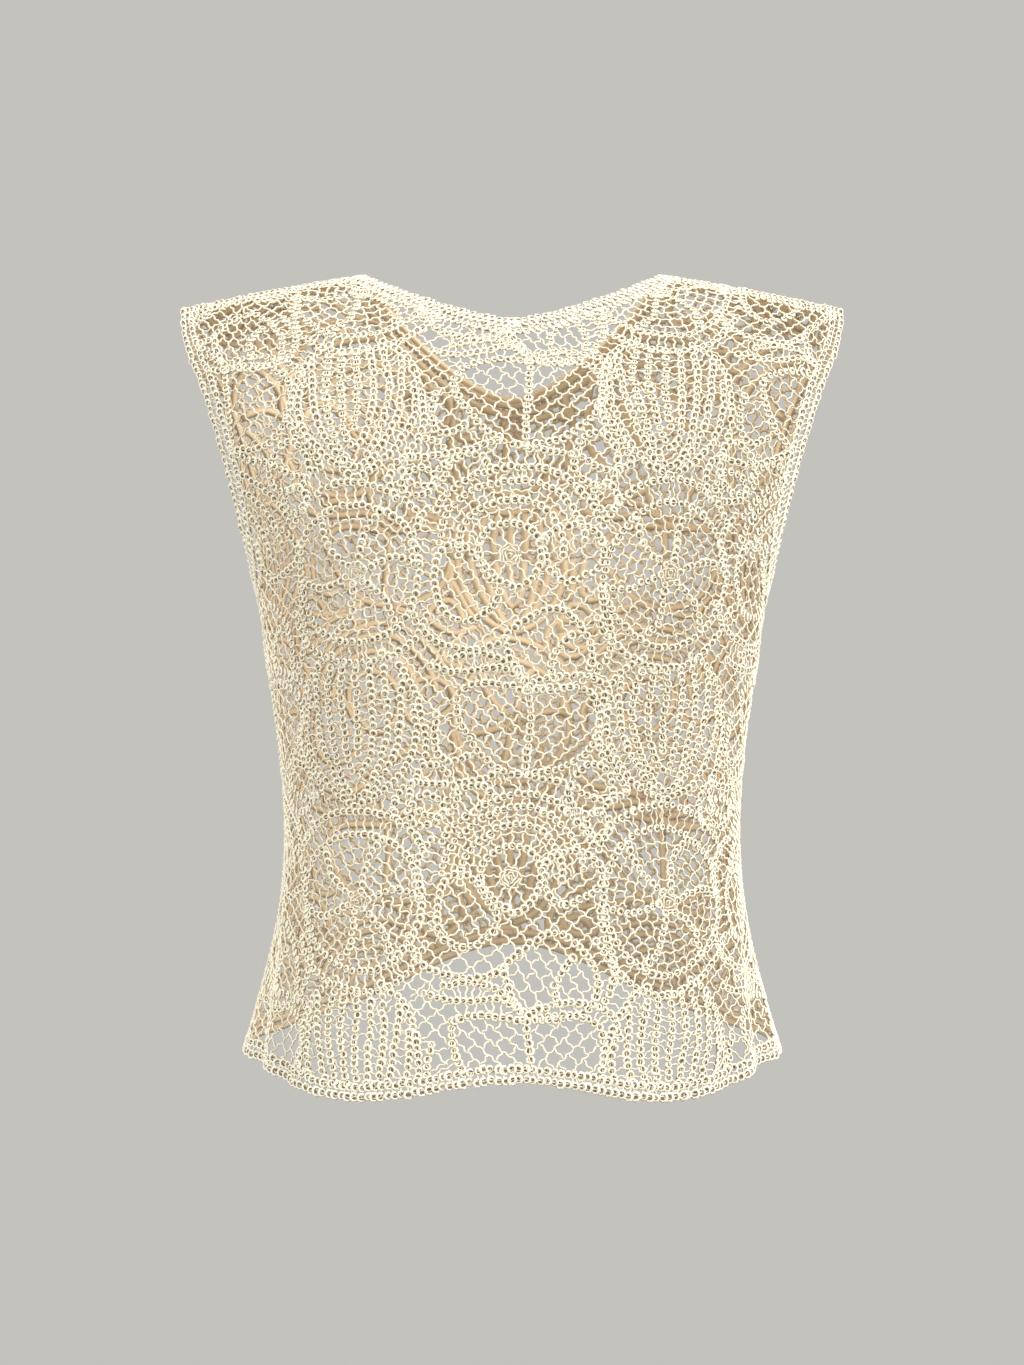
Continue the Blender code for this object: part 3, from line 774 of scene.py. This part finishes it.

# Cross-section of a single yarn: place across, place up, depth in the cloth. The back's is round,
# the front's is a looser, flatter yarn. The depth paints shade on each yarn: its top stays ivory and
# its lower sides are painted tan.
YARN_SECTION = {
    "back": ((0.00064, -0.0003, 0.50), (0.0, 0.00066, 1.0), (-0.00064, -0.0003, 0.50)),
    "front": ((0.00106, -0.0002, 0.40), (0.0, 0.00052, 1.0), (-0.00106, -0.0002, 0.40)),
    "heart": ((0.00045, -0.0002, 0.60), (0.0, 0.00055, 1.0), (-0.00045, -0.0002, 0.60)),
}

# The yarn that runs through the middle of a cord's rings and sways from side to side
HEART_LIFT = 0.0014
HEART_SWAY = 0.00050
HEART_STRAY = 0.00025

RING = {}
for panel, yarn in RING_YARN.items():
    bpy.ops.object.select_all(action="DESELECT")
    bpy.ops.mesh.primitive_torus_add(
        major_segments=RING_POINTS[0], minor_segments=RING_POINTS[1],
        major_radius=RING_RADIUS, minor_radius=yarn)
    bpy.ops.object.mode_set(mode="EDIT")
    bpy.ops.mesh.select_all(action="SELECT")
    bpy.ops.transform.rotate(
        value=math.radians(RING_TILT), orient_axis="Y", center_override=(0, 0, 0))
    if panel == "front":
        bpy.ops.mesh.flip_normals()
    bpy.ops.object.mode_set(mode="OBJECT")
    stitch = bpy.context.object
    RING[panel] = (np.array([v.co for v in stitch.data.vertices]),
                   np.array([p.vertices for p in stitch.data.polygons]))
    bpy.data.objects.remove(stitch, do_unlink=True)


def new_skein():
    """Corners, faces and depth in the cloth of the yarn that makes up one piece."""
    return {"corners": [], "walls": [], "ends": [], "depth": [], "count": 0}


def wind_on(skein, corners, walls, ends, depth):
    """Adds a yarn's corners, four-sided walls, three-sided ends and depth to a skein."""
    skein["corners"].append(corners)
    skein["walls"].append(walls + skein["count"])
    skein["ends"].append(ends + skein["count"])
    skein["depth"].append(depth)
    skein["count"] += len(corners)


def work_rings(skein, panel, route, chance, size=1.0):
    """A row of stitch rings along a route, each leaning on the next."""
    middles = even(route, RING_PITCH[panel])
    run = np.gradient(middles, axis=0)
    count = len(middles)
    turn = np.arctan2(run[:, 1], run[:, 0]) + chance.normal(0, RING_TURN_STRAY, count)
    scale = size * chance.normal(1.0, RING_SIZE_STRAY, count)
    ring, ring_faces = RING[panel]
    shape = ring[None] * scale[:, None, None]
    flat = np.stack([
        shape[..., 0] * np.cos(turn)[:, None] - shape[..., 1] * np.sin(turn)[:, None],
        shape[..., 0] * np.sin(turn)[:, None] + shape[..., 1] * np.cos(turn)[:, None],
    ], axis=2) + middles[:, None, :] + chance.normal(0, RING_STRAY, (count, 1, 2))
    height = RING_LIFT + shape[..., 2]
    corners, _ = on_form(panel, flat.reshape(-1, 2), height.ravel())
    faces = (ring_faces[None] + (np.arange(count) * len(ring))[:, None, None]).reshape(-1, 4)
    # Each ring's depth comes from its height and paints shade: tan low down, brown in the ring's
    # hollow
    depth = np.clip((height.ravel() - RING_LIFT) / RING_DEPTH_RISE + RING_DEPTH, LOW_DEPTH, 1.0)
    wind_on(skein, corners, faces, np.zeros((0, 3), int), depth)


def lay_tape(skein, panel, route):
    """The flat filler tape that the rings are worked over, painted in shade by the depth of its
    corners.
    """
    middles = even(route, TAPE_STEP)
    side = beside_line(middles)
    rows = []
    for across, lift in ((-1, 0), (0, 1), (1, 0), (0, -1)):
        flat = middles - side * across * FACING[panel] * TAPE_WIDTH[panel] / 2
        rows.append(on_form(panel, flat, TAPE_LIFT + lift * TAPE_THICKNESS / 2)[0])
    corners = np.stack(rows, axis=1).reshape(-1, 3)
    wind_on(skein, corners, *tube_faces(len(middles), 4), np.tile(TAPE_DEPTH, len(middles)))


def tube_faces(stations, sides):
    """Faces of a closed tube: its walls, and its two ends as fans."""
    here = np.arange(stations - 1)[:, None] * sides + np.arange(sides)[None]
    there = np.arange(stations - 1)[:, None] * sides + (np.arange(sides)[None] + 1) % sides
    walls = np.stack([here, here + sides, there + sides, there], axis=2).reshape(-1, 4)
    first = np.array([(0, k, k + 1) for k in range(1, sides - 1)])
    last = first[:, ::-1] + (stations - 1) * sides
    return walls, np.vstack([first, last])


def lay_heart(skein, panel, route, chance):
    """The yarn through the rings of a cord, which hides half of each ring's hollow."""
    middles = even(route, RING_PITCH[panel] / 2)
    if len(middles) > 2:
        sway = HEART_SWAY * np.tile((1.0, 0.0, -1.0, 0.0), len(middles))[:len(middles)]
        sway = sway + chance.normal(0, HEART_STRAY, len(middles))
        middles = middles + beside_line(middles) * sway[:, None]
        lay_tube(skein, panel, middles, HEART_LIFT, "heart")


def lay_tube(skein, panel, middles, height, kind):
    """A single yarn of a kind through points in the flat."""
    places, normals = on_form(panel, middles, height)
    travel = unit(np.gradient(places, axis=0))
    sides = unit(np.cross(travel, normals))
    tops = np.cross(sides, travel)
    section = YARN_SECTION[kind]
    corners = np.stack([places + sides * across + tops * up for across, up, _ in section], axis=1)
    depth = np.tile([low for _, _, low in section], len(places))
    wind_on(skein, corners.reshape(-1, 3), *tube_faces(len(places), len(section)), depth)


def lay_yarn(skein, panel, line, chance, wave=WAVE_HEIGHT):
    """A single crinkled yarn laid along a line."""
    middles = even(line, YARN_STEP)
    if len(middles) < 3:
        middles = even(line, np.hypot(*(line[-1] - line[0])) / 3)
    along = np.arange(len(middles)) * YARN_STEP
    phase = chance.uniform(0, 2 * math.pi, 2)
    length = WAVE_LENGTH * chance.uniform(*WAVE_LENGTH_SPREAD)
    sway = np.sin(2 * math.pi * along / length + phase[0])
    sway = sway * chance.uniform(*WAVE_HEIGHT_SPREAD, len(middles)) * wave
    middles = middles + beside_line(middles) * sway[:, None]
    rise = np.sin(2 * math.pi * along / LIFT_WAVE_LENGTH + phase[1])
    lay_tube(skein, panel, middles, YARN_LIFT + LIFT_WAVE_HEIGHT * rise, panel)


def finish_piece(name, skein, finish):
    """The piece's mesh, from all the yarn wound on to its skein."""
    corners = np.vstack(skein["corners"])
    walls, ends = np.vstack(skein["walls"]), np.vstack(skein["ends"])
    mesh = bpy.data.meshes.new(name)
    mesh.vertices.add(len(corners))
    mesh.vertices.foreach_set("co", corners.ravel())
    mesh.loops.add(walls.size + ends.size)
    mesh.loops.foreach_set("vertex_index", np.concatenate((walls.ravel(), ends.ravel())))
    mesh.polygons.add(len(walls) + len(ends))
    starts = np.concatenate((np.arange(len(walls)) * 4, walls.size + np.arange(len(ends)) * 3))
    mesh.polygons.foreach_set("loop_start", starts)
    mesh.polygons.foreach_set("use_smooth", np.ones(len(starts), bool))
    mesh.update(calc_edges=True)
    mesh.validate()
    # The depth attribute sets the painted shade in the yarn's colour: tan lower down, brown in the
    # hollows
    depth = mesh.attributes.new("depth", "FLOAT", "POINT")
    depth.data.foreach_set("value", np.concatenate(skein["depth"]))
    piece = bpy.data.objects.new(name, mesh)
    bpy.context.scene.collection.objects.link(piece)
    mesh.materials.append(finish)
    return piece


# Cotton yarn: matt, warm ivory where it stands up, with painted shade lower down: tan on the lower
# yarn, brown in the rings' hollows
YARN_COLOUR = (0.93, 0.87, 0.70, 1)
PAINTED_LOW_SHADE = (0.80, 0.63, 0.41, 1)
PAINTED_HOLLOW_SHADE = (0.33, 0.19, 0.08, 1)
HIGH_DEPTH = 0.80
PATCH_STRENGTH = 0.14


def add_node(tree, kind, **values):
    """A node in a tree, with its settings and its sockets' values."""
    node = tree.nodes.new(kind)
    for name, value in values.items():
        if hasattr(node, name):
            setattr(node, name, value)
        else:
            node.inputs[name.replace("_", " ").title()].default_value = value
    return node


def cotton_painted_shade():
    """Painted shade for a cotton yarn by its depth in the cloth (tan lower down, brown in the
    hollows), and the normal of its fibres.
    """
    group = bpy.data.node_groups.new("cotton painted shade", "ShaderNodeTree")
    group.interface.new_socket("Yarn Colour", in_out="INPUT", socket_type="NodeSocketColor")
    group.interface.new_socket("Depth", in_out="INPUT", socket_type="NodeSocketFloat")
    group.interface.new_socket("Place", in_out="INPUT", socket_type="NodeSocketVector")
    group.interface.new_socket("Colour", in_out="OUTPUT", socket_type="NodeSocketColor")
    group.interface.new_socket("Normal", in_out="OUTPUT", socket_type="NodeSocketVector")
    given, made = group.nodes.new("NodeGroupInput"), group.nodes.new("NodeGroupOutput")
    link = group.links.new

    patches = add_node(group, "ShaderNodeTexNoise", scale=60, detail=3)
    link(given.outputs["Place"], patches.inputs["Vector"])
    uneven = add_node(group, "ShaderNodeMapRange")
    uneven.inputs["To Min"].default_value = -PATCH_STRENGTH
    uneven.inputs["To Max"].default_value = PATCH_STRENGTH
    link(patches.outputs["Fac"], uneven.inputs["Value"])
    depth = add_node(group, "ShaderNodeMath", operation="ADD")
    link(given.outputs["Depth"], depth.inputs[0])
    link(uneven.outputs["Result"], depth.inputs[1])

    low = add_node(group, "ShaderNodeMapRange")
    low.inputs["From Max"].default_value = LOW_DEPTH
    link(given.outputs["Depth"], low.inputs["Value"])
    high = add_node(group, "ShaderNodeMapRange")
    high.inputs["From Min"].default_value = LOW_DEPTH
    high.inputs["From Max"].default_value = HIGH_DEPTH
    link(depth.outputs["Value"], high.inputs["Value"])
    deep = add_node(group, "ShaderNodeMix", data_type="RGBA")
    deep.inputs["A"].default_value = PAINTED_HOLLOW_SHADE
    deep.inputs["B"].default_value = PAINTED_LOW_SHADE
    link(low.outputs["Result"], deep.inputs["Factor"])
    shade = add_node(group, "ShaderNodeMix", data_type="RGBA")
    link(high.outputs["Result"], shade.inputs["Factor"])
    link(deep.outputs["Result"], shade.inputs["A"])
    link(given.outputs["Yarn Colour"], shade.inputs["B"])
    link(shade.outputs["Result"], made.inputs["Colour"])

    fibres = add_node(group, "ShaderNodeTexNoise", scale=2200)
    link(given.outputs["Place"], fibres.inputs["Vector"])
    bump = add_node(group, "ShaderNodeBump", strength=0.25, distance=0.0003)
    link(fibres.outputs["Fac"], bump.inputs["Height"])
    link(bump.outputs["Normal"], made.inputs["Normal"])
    return group


PAINTED_SHADE_GROUP = cotton_painted_shade()


def cotton(name, colour):
    """A matt cotton yarn of a colour, with painted shade where it lies deep in the cloth, and a
    little sheen from its fibres.
    """
    made = bpy.data.materials.new(name)
    made.use_nodes = True
    tree = made.node_tree
    shader = tree.nodes["Principled BSDF"]
    shader.inputs["Roughness"].default_value = 0.85
    shader.inputs["Sheen Weight"].default_value = 0.25
    shader.inputs["Sheen Roughness"].default_value = 0.6
    shades = add_node(tree, "ShaderNodeGroup", node_tree=PAINTED_SHADE_GROUP)
    shades.inputs["Yarn Colour"].default_value = colour
    depth = add_node(tree, "ShaderNodeAttribute", attribute_name="depth")
    places = add_node(tree, "ShaderNodeTexCoord")
    tree.links.new(depth.outputs["Fac"], shades.inputs["Depth"])
    tree.links.new(places.outputs["Object"], shades.inputs["Place"])
    tree.links.new(shades.outputs["Colour"], shader.inputs["Base Color"])
    tree.links.new(shades.outputs["Normal"], shader.inputs["Normal"])
    return made


lace_finish = cotton("ivory lace yarn", YARN_COLOUR)

# The lace of each panel in three bands, from one height in the flat to another
BANDS = (("yoke", -0.165, 1.0), ("body", -0.325, -0.165), ("skirt", -1.0, -0.325))
lace_bands = {}
for panel in ("back", "front"):
    chance = np.random.default_rng(5)
    cords, yarns = chart_panel(panel)
    for band, low, high in BANDS:
        skein = new_skein()
        for cord in cords:
            for a, b in runs_where((cord[:, 1] >= low) & (cord[:, 1] < high), LEAST_YARN):
                work_rings(skein, panel, cord[a:b], chance)
                lay_tape(skein, panel, cord[a:b])
                if panel == "back":
                    lay_heart(skein, panel, cord[a:b], chance)
        for yarn in yarns:
            if low <= yarn[:, 1].mean() < high:
                lay_yarn(skein, panel, yarn, chance)
        piece = finish_piece(panel + "_lace_" + band, skein, lace_finish)
        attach(piece, "root")
        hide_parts(panel + "_panel")
        lace_bands[panel, band] = piece

# ------------------------------------------------------------------------------------------------
# Seam stitches. The two panels are joined down each side and along each shoulder with the same
# cotton yarn, overcast from the back panel's last cord to the front panel's, a stitch to a ring.
# ------------------------------------------------------------------------------------------------
STITCH_STEP = 0.0042
STITCH_RISE = 0.0012
STITCH_SLANT = 0.0021
STITCH_RADIUS = 0.0006
STITCH_POINTS = 5
STITCH_SIDES = 4
# Depth of a stitch's four corners, which paints shade: its sides and underside darker than its top
STITCH_DEPTH = (0.6, 1.0, 0.6, 0.4)
STITCH_STRAY = 0.15
SEAM_STEP = 0.0005


def overcast(skein, line, side, chance):
    """Slanting stitches over a seam, each an arched tube from panel to panel."""
    rows = [even(line(panel, SEAM) * (side, 1), SEAM_STEP) for panel in ("back", "front")]
    count = int(len(rows[0]) * SEAM_STEP / STITCH_STEP)
    lean = int(STITCH_SLANT / SEAM_STEP)
    for i in range(count):
        share = (i + 0.5 + chance.uniform(-STITCH_STRAY, STITCH_STRAY)) / count
        first, last = [row[min(int(share * (len(row) - 1)) + lean * k, len(row) - 1)][None]
                       for k, row in enumerate(rows)]
        start, normal = on_form("back", first, YARN_LIFT)
        end, other = on_form("front", last, YARN_LIFT)
        t = np.linspace(0.0, 1.0, STITCH_POINTS)[:, None]
        out = normal + other
        out /= np.linalg.norm(out)
        places = start * (1 - t) + end * t + out * STITCH_RISE * np.sin(math.pi * t)
        travel = unit(np.gradient(places, axis=0))
        across = unit(np.cross(travel, out))
        tops = np.cross(across, travel)
        turns = np.arange(STITCH_SIDES) * math.pi / 2
        corners = np.stack([
            places + STITCH_RADIUS * (across * math.cos(a) + tops * math.sin(a)) for a in turns
        ], axis=1)
        depth = np.tile(STITCH_DEPTH, STITCH_POINTS)
        wind_on(skein, corners.reshape(-1, 3), *tube_faces(STITCH_POINTS, STITCH_SIDES), depth)


SEAMS = (("side_seam_stitches", side_line), ("shoulder_seam_stitches", shoulder_seam_line))
for name, line in SEAMS:
    skein = new_skein()
    chance = np.random.default_rng(21)
    for side in (-1, 1):
        overcast(skein, line, side, chance)
    piece = finish_piece(name, skein, lace_finish)
    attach(piece, "root")

# ------------------------------------------------------------------------------------------------
# Edgings of the neck, the armholes and the hem. Each is worked on to the lace in a slightly paler
# yarn: a cord along the finished edge, a row of short bars, and a second cord on the lace.
# ------------------------------------------------------------------------------------------------
# Distance of each cord from the finished edge, and how much larger its rings are than the lace's
EDGE_ROWS = {"hem": (0.0028, 0.0088), "neck": (0.0024, 0.0058, 0.0122), "armhole": (0.0026, EDGING)}
EDGE_SIZE = 1.10

# Steps left off a cord's two ends, where it meets a seam
SEAM_TRIM = {hem_line: (0, 1), neck_line: (2, 0), armhole_line: (0, 4)}
BAR_STEP = 0.0038
BAR_STRAY = 0.35
BAR_WAVE = 0.0005
EDGING_COLOUR = (0.94, 0.89, 0.74, 1)
edging_finish = cotton("ivory edging yarn", EDGING_COLOUR)


def work_edging(name, node, line, sides, rows):
    """The cords of an edging along a line of both panels, and the bars between the inner two."""
    skein = new_skein()
    chance = np.random.default_rng(9)
    first, last = SEAM_TRIM[line]
    for panel in ("back", "front"):
        for side in sides:
            routes = [even(line(panel, inset) * (side, 1), LINE_STEP) for inset in rows]
            routes = [route[first:len(route) - last] for route in routes]
            for route in routes:
                work_rings(skein, panel, route, chance, EDGE_SIZE)
                lay_tape(skein, panel, route)
                if panel == "back":
                    lay_heart(skein, panel, route, chance)
            count = int(len(routes[-1]) * LINE_STEP / BAR_STEP)
            for bar in range(count):
                stray = chance.uniform(-BAR_STRAY, BAR_STRAY, 2)
                shares = np.clip((bar + 0.5 + stray) / count, 0, 1)
                ends = [route[int(share * (len(route) - 1))]
                        for share, route in zip(shares, routes[-2:])]
                lay_yarn(skein, panel, even(ends, LINE_STEP), chance, wave=BAR_WAVE)
    piece = finish_piece(name, skein, edging_finish)
    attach(piece, "root")
    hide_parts(node)
    return piece


hem_cord = work_edging("hem_edging_cord", "hem_edging", hem_line, (-1, 1), EDGE_ROWS["hem"])
neck_cord = work_edging("neck_edging_cord", "neck_edging", neck_line, (-1, 1), EDGE_ROWS["neck"])
armhole_left_cord = work_edging(
    "armhole_left_cord", "armhole_edging_left", armhole_line, (-1,), EDGE_ROWS["armhole"])
armhole_right_cord = work_edging(
    "armhole_right_cord", "armhole_edging_right", armhole_line, (1,), EDGE_ROWS["armhole"])


def band_cut(panel, low, high):
    """Flat width and length of a band of a panel, and its flat area."""
    shape = np.zeros(CHART_SHAPE, bool)
    note_shape(shape, panel_edge(panel))
    cells = np.argwhere(shape) * CHART_STEP + CHART_LOW
    cells = cells[(cells[:, 1] >= low) & (cells[:, 1] < high)]
    size = [float(reach) + CHART_STEP for reach in np.ptp(cells, axis=0)]
    return size, len(cells) * CHART_STEP ** 2


for (panel, band), piece in lace_bands.items():
    low, high = [row[1:] for row in BANDS if row[0] == band][0]
    size, area = band_cut(panel, low, high)

# ------------------------------------------------------------------------------------------------
# Studio: a plain pale floor well below the vest, an even pale surround and three broad soft lights,
# two on the camera's side and a weak one behind. The camera is level, before the middle of the back.
# ------------------------------------------------------------------------------------------------
SURROUND = (0.546, 0.539, 0.509)
SURROUND_STRENGTH = 1.0
FLOOR_UP = -1.1
FLOOR_RADIUS = 12
FLOOR_COLOUR = (0.3784, 0.3753, 0.3620, 1)
LIGHTS = (("soft key", 3.5, 66, 61), ("soft fill", 2.2, 66, -69), ("soft back light", 1.0, 60, 160))
LIGHT_ANGLE = 25

# Camera: the photo's height in pixels, metres to a pixel at the middle plane, distance, height
PHOTO_HEIGHT = 1365
PIXEL = 0.00063
CAMERA_DISTANCE = 1.6
CAMERA_UP = -0.248
SENSOR = 36
scene = bpy.context.scene
scene.view_settings.view_transform = "Standard"
world = bpy.data.worlds.new("pale surround")
world.use_nodes = True
world.node_tree.nodes["Background"].inputs["Color"].default_value = (*SURROUND, 1)
world.node_tree.nodes["Background"].inputs["Strength"].default_value = SURROUND_STRENGTH
scene.world = world

bpy.ops.object.select_all(action="DESELECT")
bpy.ops.mesh.primitive_circle_add(
    vertices=64, radius=FLOOR_RADIUS, fill_type="NGON", location=(0, 0, FLOOR_UP))
bpy.ops.object.transform_apply(location=True, rotation=True, scale=True)
floor = bpy.context.object
floor.name = "studio_floor"
floor_finish = bpy.data.materials.new("pale floor")
floor_finish.use_nodes = True
floor_shader = floor_finish.node_tree.nodes["Principled BSDF"]
floor_shader.inputs["Base Color"].default_value = FLOOR_COLOUR
floor_shader.inputs["Roughness"].default_value = 0.9
floor_shader.inputs["Specular IOR Level"].default_value = 0.0
floor.data.materials.append(floor_finish)
floor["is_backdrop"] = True

for name, energy, tilt, turn in LIGHTS:
    sun = bpy.data.lights.new(name, "SUN")
    sun.energy = energy
    sun.angle = math.radians(LIGHT_ANGLE)
    sun_object = bpy.data.objects.new(name, sun)
    sun_object.rotation_euler = (math.radians(tilt), 0, math.radians(turn))
    scene.collection.objects.link(sun_object)

lens = bpy.data.cameras.new("camera")
lens.sensor_width = SENSOR
lens.lens = SENSOR * CAMERA_DISTANCE / (PHOTO_HEIGHT * PIXEL)
camera = bpy.data.objects.new("camera", lens)
camera.location = (0, -CAMERA_DISTANCE, CAMERA_UP)
camera.rotation_euler = (math.radians(90), 0, 0)
scene.collection.objects.link(camera)
scene.camera = camera

low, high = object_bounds()
